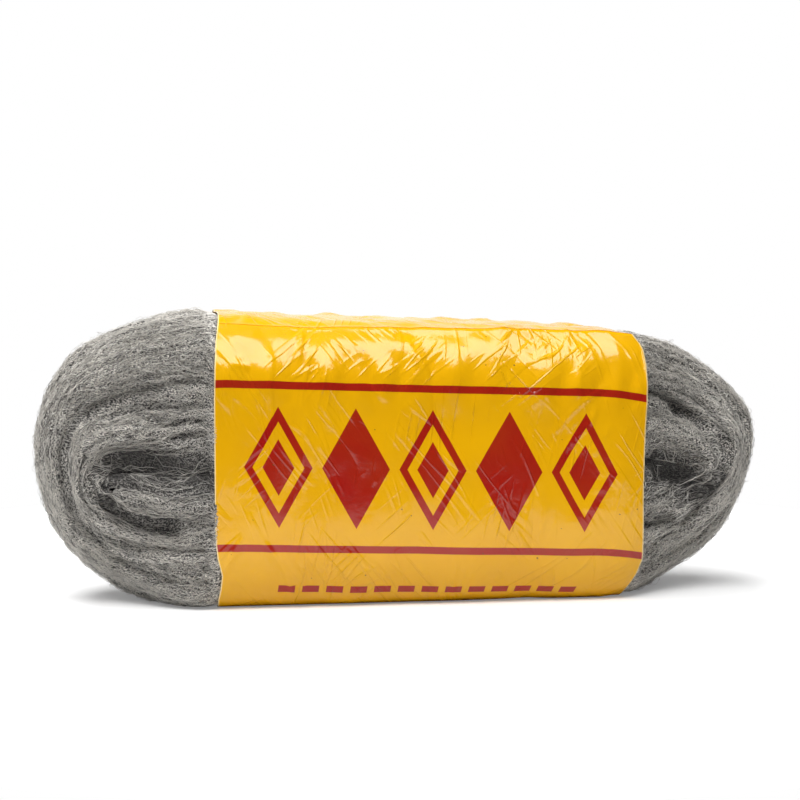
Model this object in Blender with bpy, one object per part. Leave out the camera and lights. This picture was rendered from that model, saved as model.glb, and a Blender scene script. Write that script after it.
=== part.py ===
"""A hank of steel wool held in an open-ended sleeve of plastic film.

The wool is one long sliver wound flat about an eye, so its turns show as a spiral on the front and
back and run round both ends. It lies along X with the turns' edges facing -Y (front) and +Y (back),
and stands on its long narrow side. The sleeve is lay-flat film tube, cut to length, with the two sharp
creases that such a tube has where it was flattened: one at the top front, one at the bottom rear.
"""

import math

import bmesh
import bpy
import numpy as np

# Overall form of the hank, in metres
HANK_LENGTH = 0.200
HANK_THICKNESS = 0.060
TOP_HEIGHT = 0.0782
TOP_FALL = 0.0040
FLOOR_PRESS = 0.0030
END_THINNING = 0.0060

# Rounding of the four corners of the front view: how far each reaches in from the end, and its fullness
LEFT_NOSE_HEIGHT = 0.0410
RIGHT_NOSE_HEIGHT = 0.0435
LEFT_TOP_REACH = 0.050
LEFT_BOTTOM_REACH = 0.050
RIGHT_TOP_REACH = 0.055
RIGHT_BOTTOM_REACH = 0.050
LEFT_TOP_FULLNESS = 2.4
LEFT_BOTTOM_FULLNESS = 2.3
RIGHT_TOP_FULLNESS = 1.9
RIGHT_BOTTOM_FULLNESS = 2.1
HELD_SECTION_FULLNESS = 4.0
END_SECTION_FULLNESS = 2.3

# Winding: the eye line that the turns go round, and the grooves where one turn meets the next
LEFT_EYE_HEIGHT = 0.0315
RIGHT_EYE_HEIGHT = 0.0372
EYE_SETBACK = 0.020
TURNS = 2.5
TURN_START = 0.1
EYE_GROOVE = 0.0030
OUTER_GROOVE = 0.0013
RIM_BAND = 0.10
EYE_HOLLOW = 0.0020
EYE_BAND = 0.12

# Loose lumps: how many along one lap, how wide they are over the section, and how far they rise and fall
LUMPS_A_LAP = 26
LUMP_WIDTH = 0.0075
LUMP_DEPTH = 0.0018
LUMP_DRAW = 12
LUMP_ROWS = 512
SECTION_RUN = 0.045
SWAY = 0.0012
SWAYS_A_LAP = 3
SWAY_START = 0.1

# Where layers part or fold over, as seen from the front in (x, z), in millimetres: the line, how deep it is,
# or how proud where the depth is below 0, and its half-width
MILLIMETRE = 0.001
LEFT_FOLDS = [
    ([(-91.1, 49.2), (-93.3, 42.2), (-93.6, 35.7), (-92.4, 29.1), (-84.9, 16.6)], 1.8, 1.6),
    ([(-91.6, 50.2), (-86.2, 52.5), (-76.1, 57.0), (-63.7, 59.8), (-52.0, 60.7)], 1.4, 1.5),
    ([(-84.0, 48.5), (-79.6, 52.1), (-71.5, 54.9), (-52.0, 55.2)], 1.7, 1.5),
    ([(-66.0, 45.1), (-60.2, 46.1), (-54.0, 45.8)], 3.0, 1.8),
    ([(-82.6, 33.6), (-77.9, 37.5), (-72.2, 38.9), (-65.8, 38.3), (-52.0, 37.0)], 2.6, 2.3),
    ([(-80.0, 41.5), (-72.0, 42.5), (-64.0, 41.5)], 2.8, 4.8),
    ([(-82.7, 30.5), (-79.6, 26.5), (-75.0, 23.5), (-69.3, 22.0), (-61.0, 21.9)], 3.4, 1.9),
    ([(-89.2, 22.5), (-82.8, 18.4), (-73.8, 16.1), (-62.1, 16.3), (-52.0, 16.6)], 1.8, 1.7),
    ([(-80.8, 13.1), (-73.9, 9.7), (-63.0, 7.3)], 1.4, 1.4),
    ([(-85.6, 42.8), (-87.7, 36.1), (-87.8, 29.8), (-84.8, 23.4)], 1.4, 1.4),
    ([(-81.6, 31.8), (-74.9, 31.1), (-67.2, 29.9), (-52.0, 29.1)], -1.8, 3.2),
    ([(-79.9, 41.2), (-73.5, 43.4), (-65.7, 41.7), (-52.0, 42.3)], -1.4, 2.4),
]
RIGHT_FOLDS = [
    ([(61.0, 55.0), (65.4, 56.2), (69.2, 55.9), (72.6, 53.6), (76.6, 49.5)], 3.6, 1.7),
    ([(61.0, 38.0), (69.0, 38.5)], 3.4, 1.7),
    ([(67.2, 37.1), (71.7, 34.3), (76.8, 32.6)], 2.8, 3.0),
    ([(61.0, 21.1), (67.4, 20.5), (74.1, 21.7)], 3.0, 1.8),
    ([(75.3, 18.1), (80.6, 21.0), (85.3, 25.9)], 1.7, 1.5),
    ([(78.1, 59.0), (84.4, 52.1), (87.9, 43.4), (87.4, 33.0), (83.6, 24.8)], 1.6, 1.6),
    ([(73.2, 53.4), (79.9, 47.8), (84.2, 40.7), (84.9, 32.5), (77.5, 19.4)], 1.9, 1.5),
    ([(61.6, 48.9), (69.3, 48.8), (77.7, 44.6), (81.7, 39.1), (82.4, 34.2)], -2.4, 3.0),
    ([(64.6, 28.2), (73.0, 26.1), (78.5, 27.1)], -1.8, 3.4),
]
LEAST_HALF_WIDTH = 0.0030
DEEPEST_FOLD = 0.0042
PROUDEST_FOLD = 0.0022
FOLD_FADE = 5.0
FOLD_START = 0.15
FOLD_END = 0.25
TURN_OUT_BAND = 0.8
FACE_START = 0.006
FACE_SPAN = 0.010
BACK_WANDER = 0.0030
BACK_WANDER_RUN = 0.019

# Sleeve of film
FILM_THICKNESS = 0.00015
FILM_CLEARANCE = 0.0003
WOOL_PROUD = 0.0005
SLEEVE_LEFT = -0.0530
SLEEVE_RIGHT = 0.0612
RELEASE_START = 0.0014
RELEASE_LENGTH = 0.0066
CREASE_FORWARD = 0.020
CREASE_RISE = 0.0013
CREASE_SPREAD = 0.0024

# How far the cut rims stray from straight, at heights over the table
LEFT_RIM = [(0.0, 0.0009), (0.0026, 0.0009), (0.006, 0.0015), (0.010, 0.0018), (0.014, 0.0007)]
LEFT_RIM += [(0.018, 0.0002), (0.030, 0.0), (0.056, 0.0), (0.064, 0.0002), (0.0705, 0.0007)]
LEFT_RIM += [(0.0757, 0.0015), (0.079, 0.0023)]
RIGHT_RIM = [(0.0, -0.0045), (0.0027, -0.0034), (0.0073, -0.0008), (0.0113, 0.0005), (0.028, 0.0001)]
RIGHT_RIM += [(0.041, 0.0003), (0.055, 0.0009), (0.0642, 0.0012), (0.068, 0.0009), (0.0695, 0.0002)]
RIGHT_RIM += [(0.072, -0.0019), (0.0745, -0.0052), (0.077, -0.0065)]
RIM_REACH = 3

# Puckers, where the film turns down over the wool: it bulges by this much, but for the dents that part the
# bulges, each with its place along the pad, its half-width and how far it leans for each metre down
PUCKER_BULGE = 0.0012
PUCKER_PLACE = 0.0150
PUCKER_SPREAD = 0.0060
REAR_SHOULDER = 0.022
REAR_SHIFT = 0.004
BOTTOM_SHIFT = 0.008
DENT_FLARE = 20.0
FLARE_REACH = 0.05
DENTS = [
    (-0.0445, 0.0022, 0.10),
    (-0.0325, 0.0030, 0.15),
    (-0.0270, 0.0026, 0.25),
    (-0.0178, 0.0024, 0.05),
    (-0.0118, 0.0016, 0.20),
    (-0.0040, 0.0020, -0.15),
    (0.0048, 0.0034, 0.10),
    (0.0155, 0.0040, -0.20),
    (0.0262, 0.0034, 0.0),
    (0.0400, 0.0030, -0.25),
    (0.0508, 0.0032, -0.35),
    (0.0582, 0.0020, -0.10),
]

# Fineness of the facets
END_LAP = math.pi / 3
END_STEPS = 16
HELD_STEPS = 5
FACE_STEPS = 22
CORNER_STEPS = 5
PANEL_STEPS = 19
SLEEVE_STEPS = 32
SECTION_POINTS = 721
TURN_WEIGHT = 1.3
MERGE_DISTANCE = 1e-6

WOOL_COLOUR = (0.22, 0.215, 0.205, 1.0)
FILM_COLOUR = (0.78, 0.40, 0.006, 1.0)

HALF_LENGTH = HANK_LENGTH / 2
EYE_SHARE = (HALF_LENGTH - EYE_SETBACK) / HALF_LENGTH
FILM_BUILD = FILM_CLEARANCE + FILM_THICKNESS
SQUEEZE = FILM_BUILD + WOOL_PROUD


def smooth_step(value):
    """0 below 0, 1 above 1, and an even S-curve between."""
    t = np.clip(value, 0, 1)
    return t * t * (3 - 2 * t)


def quarter_arc(along, reach, fullness):
    """Height share of a superellipse quarter: 1 where the rounding starts, 0 at the end of the hank."""
    u = np.clip(along / reach, 0, 1)
    return (1 - u**fullness) ** (1 / fullness)


def freedom(x):
    """0 where the sleeve holds the wool, rising to 1 where the wool is free of it, a little past each rim."""
    past = np.maximum(SLEEVE_LEFT - x, x - SLEEVE_RIGHT) - RELEASE_START
    return smooth_step(past / RELEASE_LENGTH)


def upper_edge(x):
    """Height of the wound top, which falls a little to the right, with a quarter arc down to each nose."""
    left, right = LEFT_TOP_REACH - HALF_LENGTH, HALF_LENGTH - RIGHT_TOP_REACH
    top = TOP_HEIGHT - TOP_FALL * np.clip((x - left) / (right - left), 0, 1)
    nose = np.where(x < 0, LEFT_NOSE_HEIGHT, RIGHT_NOSE_HEIGHT)
    share = quarter_arc(left - x, LEFT_TOP_REACH, LEFT_TOP_FULLNESS) * quarter_arc(
        x - right, RIGHT_TOP_REACH, RIGHT_TOP_FULLNESS
    )
    return nose + (top - nose) * share


def lower_edge(x):
    """Height of the wound underside before the floor flattens it."""
    left, right = LEFT_BOTTOM_REACH - HALF_LENGTH, HALF_LENGTH - RIGHT_BOTTOM_REACH
    nose = np.where(x < 0, LEFT_NOSE_HEIGHT, RIGHT_NOSE_HEIGHT)
    share = quarter_arc(left - x, LEFT_BOTTOM_REACH, LEFT_BOTTOM_FULLNESS) * quarter_arc(
        x - right, RIGHT_BOTTOM_REACH, RIGHT_BOTTOM_FULLNESS
    )
    return nose - (nose + FLOOR_PRESS) * share


def wound(outer_x, ring, above, free):
    """Point of the front view on the winding: ring 0 is the eye line, ring 1 the outside of the last turn.

    outer_x is the x at which the ray through the point meets the outside. Rays fan out from the eye line,
    which is shorter than the hank. above is 1 for the upper half, -1 for the lower. free is freedom(x).
    """
    edge = np.where(above > 0, upper_edge(outer_x), lower_edge(outer_x))
    edge = edge - above * SQUEEZE * (1 - free)
    rightward = (outer_x + HALF_LENGTH) / HANK_LENGTH
    eye = LEFT_EYE_HEIGHT + (RIGHT_EYE_HEIGHT - LEFT_EYE_HEIGHT) * rightward
    x = outer_x * (EYE_SHARE + (1 - EYE_SHARE) * ring)
    z = eye + ring * (edge - eye)
    return x, np.maximum(z, FILM_BUILD * (1 - free))


def end_share(x):
    """0 along the held middle of the hank, rising to 1 at the ends of the eye line."""
    start = SLEEVE_RIGHT - RELEASE_LENGTH - RELEASE_START
    return smooth_step((np.abs(x) - start) / (HALF_LENGTH - EYE_SETBACK - start))


def half_thickness(x, free):
    """Half the hank's size along Y, least at the ends and under the sleeve."""
    return HANK_THICKNESS / 2 - SQUEEZE * (1 - free) - END_THINNING * end_share(x)


def ring_steps():
    """Rings from the eye to the outside, even over the face and closer where the section turns."""
    corner = 1 - 0.5 ** (1 / HELD_SECTION_FULLNESS)
    face = np.linspace(0, 1 - corner, FACE_STEPS)
    turn = np.linspace(0, math.pi / 2, CORNER_STEPS + 1)[1:]
    return np.concatenate([face, face[-1] + (1 - face[-1]) * np.sin(turn)])


def face_share(x, ring):
    """Share of the half thickness at each ring: the superellipse that rounds the face into the rim."""
    fullness = HELD_SECTION_FULLNESS + (END_SECTION_FULLNESS - HELD_SECTION_FULLNESS) * end_share(x)
    return np.clip(1 - ring**fullness, 0, 1) ** (1 / fullness)


def groove_depth(x, ring, turn_share):
    """How deep the face is sunk where one turn meets the next. The groove spirals out, one turn a lap.

    It is deepest at the eye, where the turns are loosest, and the eye line itself is an even hollow.
    """
    phase = TURNS * ring - turn_share - TURN_START
    deepest = EYE_GROOVE + (OUTER_GROOVE - EYE_GROOVE) * ring
    inside_rim = smooth_step((1 - ring) / RIM_BAND - 0.5)
    groove = deepest * (1 - np.abs(np.sin(math.pi * phase))) * inside_rim
    off_eye = smooth_step(ring / EYE_BAND)
    return (EYE_HOLLOW + (groove - EYE_HOLLOW) * off_eye) * freedom(x)


def lumps(lap, across):
    """Random heights on a grid of cells, long round the lap and short over the section, smoothly joined."""
    along = lap / (2 * math.pi)
    place = across * SECTION_RUN + SWAY * np.sin(2 * math.pi * (SWAYS_A_LAP * along + SWAY_START))
    u, v = along * LUMPS_A_LAP, place / LUMP_WIDTH + 0.5
    i, j = np.floor(u).astype(int), np.floor(v).astype(int)
    fu, fv = smooth_step(u - i), smooth_step(v - j)
    height = np.random.default_rng(LUMP_DRAW).random((LUMPS_A_LAP, LUMP_ROWS))
    here, beyond = i % LUMPS_A_LAP, (i + 1) % LUMPS_A_LAP
    low = height[here, j] + (height[beyond, j] - height[here, j]) * fu
    high = height[here, j + 1] + (height[beyond, j + 1] - height[here, j + 1]) * fu
    return LUMP_DEPTH * (low + (high - low) * fv - 0.5)


def fold_depth(x, y, z):
    """How deep the folds are: along each line a trough of bell section that fades out over its two ends.

    The back shows the same turns from behind, so its folds are the front's, wandering off a little in z.
    """
    seen_z = z + np.where(y > 0, BACK_WANDER * np.sin(x / BACK_WANDER_RUN), 0)
    depth = np.zeros_like(x)
    for line, deep, half_width in LEFT_FOLDS + RIGHT_FOLDS:
        line = np.array(line) * MILLIMETRE
        spread = max(half_width * MILLIMETRE, LEAST_HALF_WIDTH)
        run = np.linalg.norm(np.diff(line, axis=0), axis=1)
        nearest, place = np.full_like(x, HANK_LENGTH), np.zeros_like(x)
        for k, length in enumerate(run):
            step = line[k + 1] - line[k]
            along = np.clip(((x - line[k, 0]) * step[0] + (seen_z - line[k, 1]) * step[1]) / length**2, 0, 1)
            away = np.hypot(x - line[k, 0] - along * step[0], seen_z - line[k, 1] - along * step[1])
            place = np.where(away < nearest, (run[:k].sum() + along * length) / run.sum(), place)
            nearest = np.minimum(nearest, away)
        fade = smooth_step(FOLD_FADE * place + FOLD_START) * smooth_step(FOLD_FADE * (1 - place) + FOLD_END)
        depth = depth + deep * MILLIMETRE * fade * np.exp(-((nearest / spread) ** 2))
    limit = np.where(depth > 0, DEEPEST_FOLD, PROUDEST_FOLD)
    return limit * np.tanh(depth / limit) * smooth_step((np.abs(y) - FACE_START) / FACE_SPAN)


def link(name, material, build):
    """A smooth-shaded object of that name and material, from a function that fills a bmesh."""
    mesh = bpy.data.meshes.new(name)
    shape = bmesh.new()
    build(shape)
    bmesh.ops.recalc_face_normals(shape, faces=shape.faces)
    shape.to_mesh(mesh)
    shape.free()
    mesh.materials.append(material)
    mesh.shade_smooth()
    made = bpy.data.objects.new(name, mesh)
    bpy.context.scene.collection.objects.link(made)
    return made


def finish(name, colour, roughness, metallic):
    """A Principled material."""
    material = bpy.data.materials.new(name)
    material.use_nodes = True
    shader = material.node_tree.nodes["Principled BSDF"]
    shader.inputs["Base Color"].default_value = colour
    shader.inputs["Roughness"].default_value = roughness
    shader.inputs["Metallic"].default_value = metallic
    return material


def fill_grid(shape, points):
    """Quads over a grid of points, rows by columns. The last column joins the first."""
    vertices = [[shape.verts.new(p) for p in row] for row in points.tolist()]
    columns = points.shape[1]
    for below, above in zip(vertices, vertices[1:]):
        for j in range(columns):
            k = (j + 1) % columns
            shape.faces.new((below[j], below[k], above[k], above[j]))


def lap_steps():
    """Angles round the winding, above and then below, close together over both free ends."""
    end = np.linspace(0, END_LAP, END_STEPS + 1)
    held = np.linspace(END_LAP, math.pi - END_LAP, HELD_STEPS + 1)[1:-1]
    above = np.concatenate([end, held, math.pi - end[::-1]])
    return np.concatenate([above, 2 * math.pi - above[-2:0:-1]])


def hank_form(lap, ring, side):
    """Points on the winding without its folds and lumps: lap is the angle round it, side is -1 in front."""
    outer_x = HALF_LENGTH * np.cos(lap)
    above = np.where(np.sin(lap) >= 0, 1, -1)
    free = freedom(outer_x * (EYE_SHARE + (1 - EYE_SHARE) * ring))
    x, z = wound(outer_x, ring, above, free)
    sunk = groove_depth(x, ring, lap / (2 * math.pi))
    y = side * (half_thickness(x, free) * face_share(x, ring) - sunk)
    return np.stack([x, y, z], axis=-1), free


def hank_points():
    """Grid over the hank. Columns go once round the winding, rows from the front eye to the back one.

    Each point then moves out by the lumps less the folds: along Y at the eye line, where the upper and lower
    halves meet, and turning to the outward normal towards the rim.
    """
    lap = lap_steps()
    steps = ring_steps()
    ring = np.concatenate([steps, steps[-2::-1]])[:, None]
    side = np.where(np.arange(len(ring)) < len(steps), -1, 1)[:, None]
    point, free = hank_form(lap, ring, side)
    by_lap = np.roll(point, -1, axis=1) - np.roll(point, 1, axis=1)
    normal = np.cross(np.gradient(point, axis=0), by_lap)
    normal /= np.maximum(np.linalg.norm(normal, axis=-1, keepdims=True), MERGE_DISTANCE**2)
    off_eye = smooth_step(ring / EYE_BAND)
    across_y = np.stack([np.zeros_like(free), side + np.zeros_like(free), np.zeros_like(free)], axis=-1)
    normal = across_y + smooth_step(ring / TURN_OUT_BAND)[..., None] * (normal - across_y)
    across = np.arctan2(ring, np.clip(1 - ring**HELD_SECTION_FULLNESS, 0, 1) ** (1 / HELD_SECTION_FULLNESS))
    across = np.where(side < 0, across, math.pi - across)
    stand = lumps(lap + 0 * ring, across + 0 * lap) * off_eye
    stand = (stand - fold_depth(point[..., 0], point[..., 1], point[..., 2])) * free
    moved = point + normal * stand[..., None]
    moved[..., 2] = np.maximum(moved[..., 2], FILM_BUILD * (1 - free))
    return moved


def build_hank(shape):
    """The winding as one closed body: the upper and lower halves of each face meet along the eye line."""
    fill_grid(shape, hank_points())
    bmesh.ops.remove_doubles(shape, verts=shape.verts, dist=MERGE_DISTANCE)


def section_points(x):
    """The held hank's section across X at x: a dense closed loop of y and z, from the front over the top."""
    angle = np.linspace(0, 2 * math.pi, SECTION_POINTS)
    power = 2 / HELD_SECTION_FULLNESS
    share = np.sign(np.cos(angle)) * np.abs(np.cos(angle)) ** power
    ring = np.abs(np.sin(angle)) ** power
    above = np.where(angle <= math.pi, 1, -1)
    outer_x = np.clip(x / (EYE_SHARE + (1 - EYE_SHARE) * ring), -HALF_LENGTH, HALF_LENGTH)
    _, z = wound(outer_x, ring, above, 0.0)
    return np.stack([-half_thickness(x, 0.0) * share, z], axis=-1)


def panel_steps(run):
    """Distances along a run of the section between two creases, closer together where the film turns."""
    step = np.diff(run, axis=0)
    length = np.linalg.norm(step, axis=1)
    heading = np.unwrap(np.arctan2(step[:, 1], step[:, 0]))
    turning = np.concatenate([[0], np.abs(np.diff(heading))])
    weight = np.cumsum(length / length.sum() + TURN_WEIGHT * turning / turning.sum())
    along = np.concatenate([[0], np.cumsum(length)])
    even = np.linspace(0, weight[-1], PANEL_STEPS + 1)
    return along, np.interp(even, np.concatenate([[0], weight]), along)


def bulge(x, edge):
    """How far a row of puckers stands out, edge being the distance past the edge that they hang from."""
    parted = np.zeros_like(edge)
    for place, half_width, lean in DENTS:
        middle = place + lean * (edge - PUCKER_PLACE)
        flare = half_width * (1 + DENT_FLARE * np.clip(edge, 0, FLARE_REACH))
        parted = parted + np.exp(-(((x - middle) / flare) ** 2))
    band = np.exp(-(((edge - PUCKER_PLACE) / PUCKER_SPREAD) ** 2))
    return PUCKER_BULGE * band * np.clip(1 - parted, 0, 1)


def sleeve_section(x):
    """The inner side of the sleeve across X at x, as two panels that meet at the film's two creases.

    The front panel goes from the top front crease down under the hank to the bottom rear crease, and the
    back panel from there over the top.
    """
    loop = section_points(x)[:-1]
    crease = int(np.argmin(np.abs(loop[: len(loop) // 2, 0] + CREASE_FORWARD)))
    loop = np.roll(loop, -crease, axis=0)[::-1]
    loop = np.concatenate([loop[-1:], loop])
    length = np.concatenate([[0], np.cumsum(np.linalg.norm(np.diff(loop, axis=0), axis=1))])
    half = int(np.argmin(np.abs(length - length[-1] / 2)))
    made = []
    for run, is_front in ((loop[: half + 1], True), (loop[half:], False)):
        along, at = panel_steps(run)
        point = np.stack([np.interp(at, along, run[:, k]) for k in (0, 1)], axis=-1)
        slope = np.stack([np.gradient(run[:, k], along) for k in (0, 1)], axis=-1)
        slope = np.stack([np.interp(at, along, slope[:, k]) for k in (0, 1)], axis=-1)
        outward = np.stack([slope[:, 1], -slope[:, 0]], axis=-1)
        outward /= np.linalg.norm(outward, axis=1, keepdims=True)
        from_crease = np.minimum(at, along[-1] - at)
        rise = CREASE_RISE * np.exp(-from_crease / CREASE_SPREAD)
        down = at if is_front else along[-1] - at
        shoulder = bulge(x, down) if is_front else bulge(x - REAR_SHIFT, down - REAR_SHOULDER)
        lift = FILM_CLEARANCE + rise + shoulder + bulge(BOTTOM_SHIFT - x, along[-1] - down)
        made.append((point + lift[:, None] * outward)[:-1])
    return np.concatenate(made)


def build_sleeve(shape):
    """The inner side of the sleeve as an open tube, whose rims stray from straight as their lists say."""
    station = np.linspace(SLEEVE_LEFT, SLEEVE_RIGHT, SLEEVE_STEPS + 1)
    section = np.array([sleeve_section(x) for x in station])
    share = ((station - SLEEVE_LEFT) / (SLEEVE_RIGHT - SLEEVE_LEFT))[:, None]
    left, right = (np.interp(section[:, :, 1], *np.array(rim).T) for rim in (LEFT_RIM, RIGHT_RIM))
    x = station[:, None] + left * (1 - share) ** RIM_REACH + right * share**RIM_REACH
    y, z = (
        np.stack([np.interp(x[:, j], station, section[:, j, k]) for j in range(x.shape[1])], axis=-1)
        for k in (0, 1)
    )
    fill_grid(shape, np.stack([x, y, np.maximum(z, FILM_THICKNESS)], axis=-1))


def main():
    for old in list(bpy.data.objects):
        bpy.data.objects.remove(old)
    link("wool_hank", finish("steel_wool", WOOL_COLOUR, 0.55, 0.9), build_hank)
    sleeve = link("film_sleeve", finish("yellow_film", FILM_COLOUR, 0.3, 0.0), build_sleeve)
    wall = sleeve.modifiers.new("film", "SOLIDIFY")
    wall.thickness = FILM_THICKNESS
    wall.offset = 1.0
    wall.use_even_offset = True


main()
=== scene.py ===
"""The looks of a steel wool pad: a wound hank of steel wool in an open-ended sleeve of printed film.

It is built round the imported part, in metres and in the part's own frame: +X along the pad, -Y to the front
and +Z up. The sections follow the pad as it is put together: the wool first, then its loose fibres, then
the film drawn over it, and last the studio.
"""

import math

import bmesh
import bpy
import numpy as np
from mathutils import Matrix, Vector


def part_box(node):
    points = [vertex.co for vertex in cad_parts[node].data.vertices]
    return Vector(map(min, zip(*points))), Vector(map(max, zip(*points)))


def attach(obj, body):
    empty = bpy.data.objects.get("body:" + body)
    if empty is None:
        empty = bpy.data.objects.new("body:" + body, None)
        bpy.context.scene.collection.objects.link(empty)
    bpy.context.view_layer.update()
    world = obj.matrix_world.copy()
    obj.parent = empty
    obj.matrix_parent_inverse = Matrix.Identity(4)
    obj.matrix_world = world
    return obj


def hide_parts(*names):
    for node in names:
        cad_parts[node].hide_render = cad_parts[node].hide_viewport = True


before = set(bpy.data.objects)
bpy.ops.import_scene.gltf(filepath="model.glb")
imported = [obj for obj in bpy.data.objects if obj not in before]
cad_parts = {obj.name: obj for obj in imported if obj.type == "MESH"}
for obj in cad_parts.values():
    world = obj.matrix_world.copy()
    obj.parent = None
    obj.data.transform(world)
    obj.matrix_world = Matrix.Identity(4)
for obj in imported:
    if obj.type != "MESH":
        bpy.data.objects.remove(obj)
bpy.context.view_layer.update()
wool_low, wool_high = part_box("wool_hank")
film_low, film_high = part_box("film_sleeve")


# The hank of wool. One long sliver of fine steel fibres is wound flat about an eye, edge outwards, so its
# turns show as a spiral on the front and back. Loose at both ends, it is squeezed where the film holds it.
HALF_LENGTH = (wool_high.x - wool_low.x) / 2
HALF_THICKNESS = 0.030
TOP_HEIGHT = 0.0782
TOP_FALL = 0.0040
FLOOR_PRESS = 0.0030
END_THINNING = 0.0060
NOSE_HEIGHT = {"left": 0.0410, "right": 0.0435}
EYE_HEIGHT = {"left": 0.0315, "right": 0.0372}

# Rounding of the noses and of the section: how far it reaches, and its fullness, which is 2 for an ellipse
TOP_ARC = {"left": (0.050, 2.4), "right": (0.055, 1.9)}
BOTTOM_ARC = {"left": (0.050, 2.3), "right": (0.050, 2.1)}
HELD_FULLNESS = 4.0
END_FULLNESS = 2.3

# The eye, as a share of the length, and the groove between the turns, which spirals out from it
EYE_SHARE = 1 - 0.020 / HALF_LENGTH
TURNS = 2.5
TURN_START = 0.1
EYE_GROOVE = 0.0030
OUTER_GROOVE = 0.0013
RIM_BAND = 0.10
EYE_HOLLOW = 0.0020
EYE_BAND = 0.16
EYE_WANDER = 0.0012
EYE_WANDER_RUN = 0.0055

# The film, how much it squeezes the wool at its rims and further in, and how soon the wool bulges
FILM_THICKNESS = 0.00015
FILM_GAP = 0.0003
RELEASE_LENGTH = 0.008
RIM_SQUEEZE = 0.00095
CORE_SQUEEZE = (0.0006, 0.0032)
BULGE_LENGTH = 0.0030
SINK = 0.0012

# Plies, lumps and tufts: how far they rise and fall, how many lie along one lap, and how wide they are over
# the section, whose length is taken as one run everywhere. Their rows sway a little as they go round.
PLY_DEPTH = 0.0012
PLY_CELLS = dict(along_cells=14, across_cell=0.0030, seed=11)
LUMP_DEPTH = 0.0018
LUMP_CELLS = dict(along_cells=26, across_cell=0.0075, seed=12)
TUFT_DEPTH = 0.0004
TUFT_CELLS = dict(along_cells=90, across_cell=0.0022, seed=13)
SECTION_RUN = 0.045
SWAY = 0.0012
SWAYS_A_LAP = 3
SWAY_START = 0.1

# Where its layers part or fold, as seen from the front in (x, z), in millimetres: the line, how deep it is,
# or how proud where the depth is below 0, and its half-width
MILLIMETRE = 0.001
LEFT_FOLDS = [
    ([(-91.1, 49.2), (-93.3, 42.2), (-93.6, 35.7), (-92.4, 29.1), (-89.5, 21.9), (-84.9, 16.6)], 1.8, 1.6),
    ([(-91.6, 50.2), (-86.2, 52.5), (-76.1, 57.0), (-63.7, 59.8), (-52.0, 60.7)], 1.4, 1.5),
    ([(-84.0, 48.5), (-79.6, 52.1), (-71.5, 54.9), (-52.0, 55.2)], 1.7, 1.5),
    ([(-69.5, 49.1), (-61.8, 50.9), (-52.0, 50.5)], 1.3, 1.3),
    ([(-66.0, 45.1), (-60.2, 46.1), (-54.0, 45.8)], 2.4, 1.3),
    ([(-82.6, 33.6), (-77.9, 37.5), (-72.2, 38.9), (-65.8, 38.3), (-59.3, 36.6), (-52.0, 37.0)], 2.6, 2.3),
    ([(-84.5, 38.5), (-77.0, 40.5), (-69.0, 41.0), (-60.0, 39.0), (-50.0, 38.0)], 1.7, 5.5),
    ([(-82.7, 30.5), (-79.6, 26.5), (-75.0, 23.5), (-69.3, 22.0), (-61.0, 21.9)], 2.6, 2.0),
    ([(-89.2, 22.5), (-82.8, 18.4), (-73.8, 16.1), (-62.1, 16.3), (-52.0, 16.6)], 1.8, 1.7),
    ([(-80.8, 13.1), (-73.9, 9.7), (-63.0, 7.3)], 1.4, 1.4),
    ([(-85.6, 42.8), (-87.7, 36.1), (-87.8, 29.8), (-84.8, 23.4)], 1.4, 1.4),
    ([(-81.6, 30.0), (-74.9, 29.6), (-67.2, 28.9), (-52.0, 28.5)], -1.8, 3.2),
    ([(-79.9, 46.2), (-73.5, 47.4), (-65.7, 46.7)], -1.0, 2.4),
]
RIGHT_FOLDS = [
    ([(61.0, 55.0), (65.4, 56.2), (69.2, 55.9), (72.6, 53.6), (76.6, 49.5)], 3.6, 1.7),
    ([(61.0, 38.0), (69.0, 38.5)], 3.4, 1.7),
    ([(67.2, 37.1), (71.7, 34.3), (76.8, 32.6)], 3.0, 3.0),
    ([(61.0, 21.1), (67.4, 20.5), (74.1, 21.7)], 3.0, 1.8),
    ([(75.3, 18.1), (80.6, 21.0), (85.3, 25.9)], 1.7, 1.5),
    ([(78.1, 59.0), (84.4, 52.1), (87.9, 43.4), (87.4, 33.0), (83.6, 24.8)], 1.8, 1.5),
    ([(73.2, 53.4), (79.9, 47.8), (84.2, 40.7), (84.9, 32.5), (82.0, 24.3), (77.5, 19.4)], 2.2, 1.4),
    ([(61.6, 48.9), (69.3, 48.8), (77.7, 44.6), (81.7, 39.1), (82.4, 34.2)], -2.4, 3.0),
    ([(64.6, 26.2), (73.0, 24.1), (78.5, 24.1)], -1.2, 2.6),
    ([(71.0, 31.0), (82.0, 30.0)], 1.8, 5.0),
]
DEEPEST_FOLD = 0.0042
PROUDEST_FOLD = 0.0022

# How folds fade out at both ends and at the rim, and how those on the back wander off
FOLD_FADE = 5
FOLD_START = 0.15
FOLD_END = 0.25
FACE_START = 0.006
FACE_SPAN = 0.010
BACK_WANDER = 0.0030
BACK_WANDER_RUN = 0.019

# Painted shade, where little light gets in: how deep a fold is when it is painted quite dark, and how dark
# it is painted about the eye
DARK_FOLD = 0.0048
EYE_SHADE = 0.80
EYE_SHADE_HEIGHT = 0.0320
EYE_SHADE_SPREAD = 0.0105
EYE_SHADE_END = 0.091
EYE_SHADE_FADE = 0.014

NOSE_CROWDING = 0.36
ENDS_APART = 0.5
NOISE_ROWS = 512
LAP_STEPS = 420
ACROSS_STEPS = 120


def smooth_step(value):
    """0 below 0, 1 above 1, and an even S-curve between."""
    t = np.clip(value, 0, 1)
    return t * t * (3 - 2 * t)


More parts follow.
